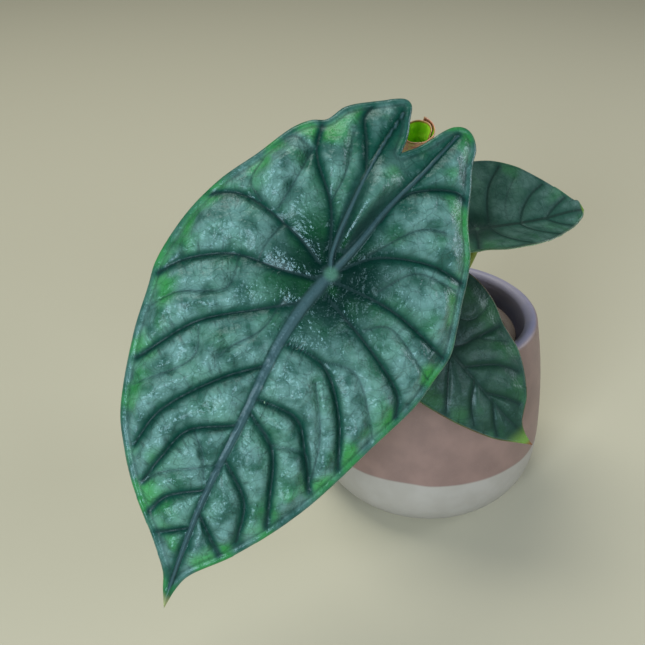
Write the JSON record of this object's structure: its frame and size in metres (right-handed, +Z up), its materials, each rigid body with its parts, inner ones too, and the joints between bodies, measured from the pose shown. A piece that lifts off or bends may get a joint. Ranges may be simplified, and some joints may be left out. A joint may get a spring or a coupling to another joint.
{
  "type": "potted alocasia",
  "caption": "Small alocasia with peltate, quilted arrow-shaped leaves on slender stalks, in a rounded two-tone stoneware cover pot with an inner nursery pot of potting mix.",
  "frame": {"origin": "centre of the flat foot that the cover pot stands on", "axes": "+Z up the pot's axis; the largest leaf leans towards -Y and -X, the upper leaf points towards +X"},
  "size_m": [0.1521, 0.171, 0.1742],
  "materials": {
    "two_tone_stoneware": "satin-matt glaze, dusty pink above and off-white below, with a lilac-grey lip and inside",
    "nursery_plastic": "thin matt taupe polypropylene",
    "potting_mix": "dark moist peat and fine bark",
    "rhizome": "brown corky stem and pale roots",
    "mature_leaf": "thick quilted blade, silvery grey-green panels between sunken dark veins, satin wax",
    "leaf_stalk": "smooth yellow-green stalk, faintly mottled",
    "young_leaf": "soft bright yellow-green with a brown-red edge",
    "dry_cataphyll": "dry papery tan sheath",
    "bark": "rough orchid bark",
    "perlite": "white porous grains"
  },
  "bodies": {
    "root": {"cover_pot": "two_tone_stoneware", "nursery_pot": "nursery_plastic", "potting_mix": "potting_mix", "rhizome_and_roots": "rhizome", "front_leaf_blade": "mature_leaf", "front_leaf_petiole": "leaf_stalk", "upper_leaf_blade": "mature_leaf", "upper_leaf_petiole": "leaf_stalk", "lower_leaf_blade": "mature_leaf", "lower_leaf_petiole": "leaf_stalk", "young_leaf": "young_leaf", "young_leaf_petiole": "leaf_stalk", "back_cataphyll": "dry_cataphyll", "side_cataphyll": "dry_cataphyll", "bark_chip_1": "bark", "bark_chip_2": "bark", "bark_chip_3": "bark", "bark_chip_4": "bark", "bark_chip_5": "bark", "perlite_grain_1": "perlite", "perlite_grain_2": "perlite", "perlite_grain_3": "perlite", "perlite_grain_4": "perlite", "perlite_grain_5": "perlite"}
  },
  "joints": []
}
